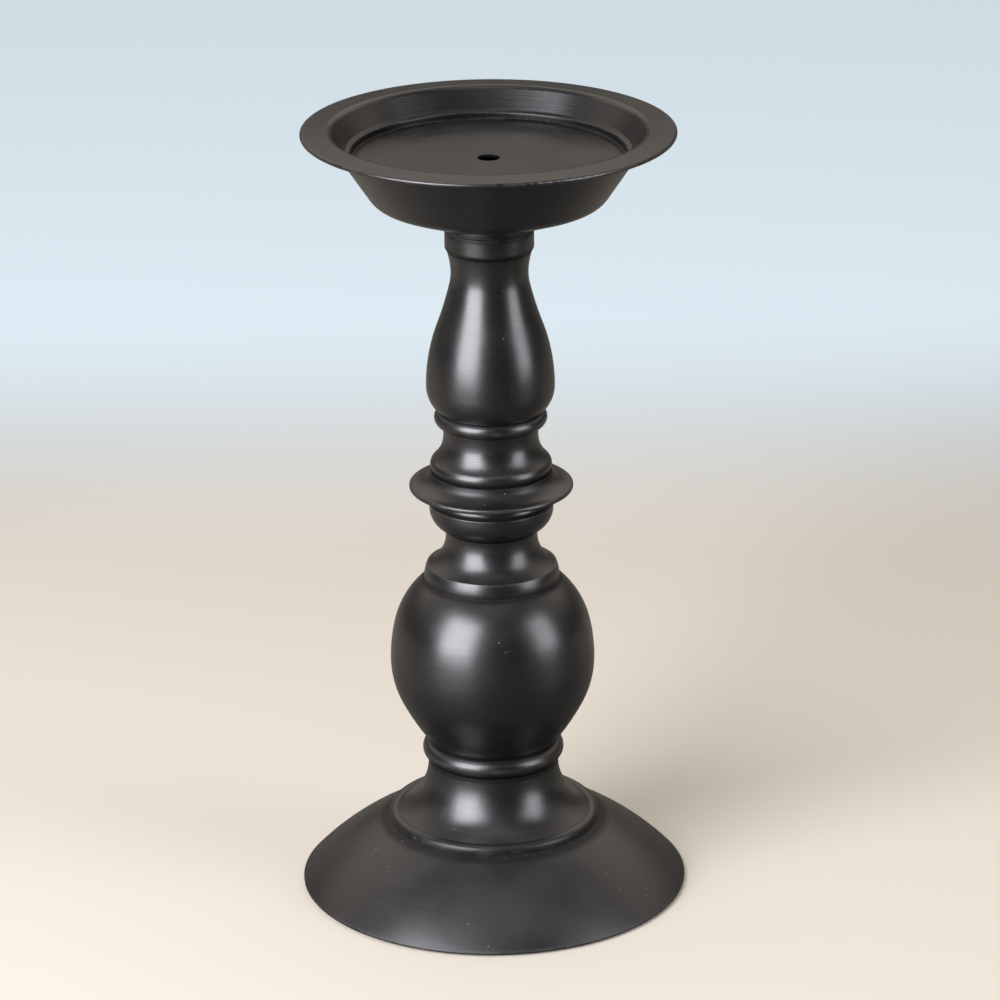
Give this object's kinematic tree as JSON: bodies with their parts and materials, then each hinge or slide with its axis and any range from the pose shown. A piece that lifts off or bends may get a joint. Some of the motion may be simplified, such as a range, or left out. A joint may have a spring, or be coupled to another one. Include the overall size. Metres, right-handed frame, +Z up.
{
  "type": "candlestick",
  "caption": "Turned baluster candlestick in satin black iron: domed base, ball and vase stem, and a shallow dish with a sunk floor for a pillar candle.",
  "frame": {"origin": "on the table under the stem's axis, at the bottom face of the felt dots", "axes": "+Z up along the stem's axis; the candlestick is turned, so +X and +Y are alike, and the picture looks along +Y from above"},
  "size_m": [0.1132, 0.1132, 0.2304],
  "materials": {
    "black": "satin black on spun iron, with faint turning lines and light dust",
    "zinc": "zinc plated",
    "felt": "black felt"
  },
  "bodies": {
    "root": {"candle_pan": "black", "dish_bowl": "black", "seat_ring": "black", "neck_collar": "black", "vase": "black", "upper_bead": "black", "upper_shoulder": "black", "flange": "black", "flange_cup": "black", "lower_shoulder": "black", "ball": "black", "lower_bead": "black", "foot_cove": "black", "base": "black", "base_pads": "felt", "tie_rod": "zinc", "bowl_washer": "zinc", "bowl_nut": "zinc", "base_washer": "zinc", "lock_washer": "zinc", "base_nut": "zinc"}
  },
  "joints": []
}
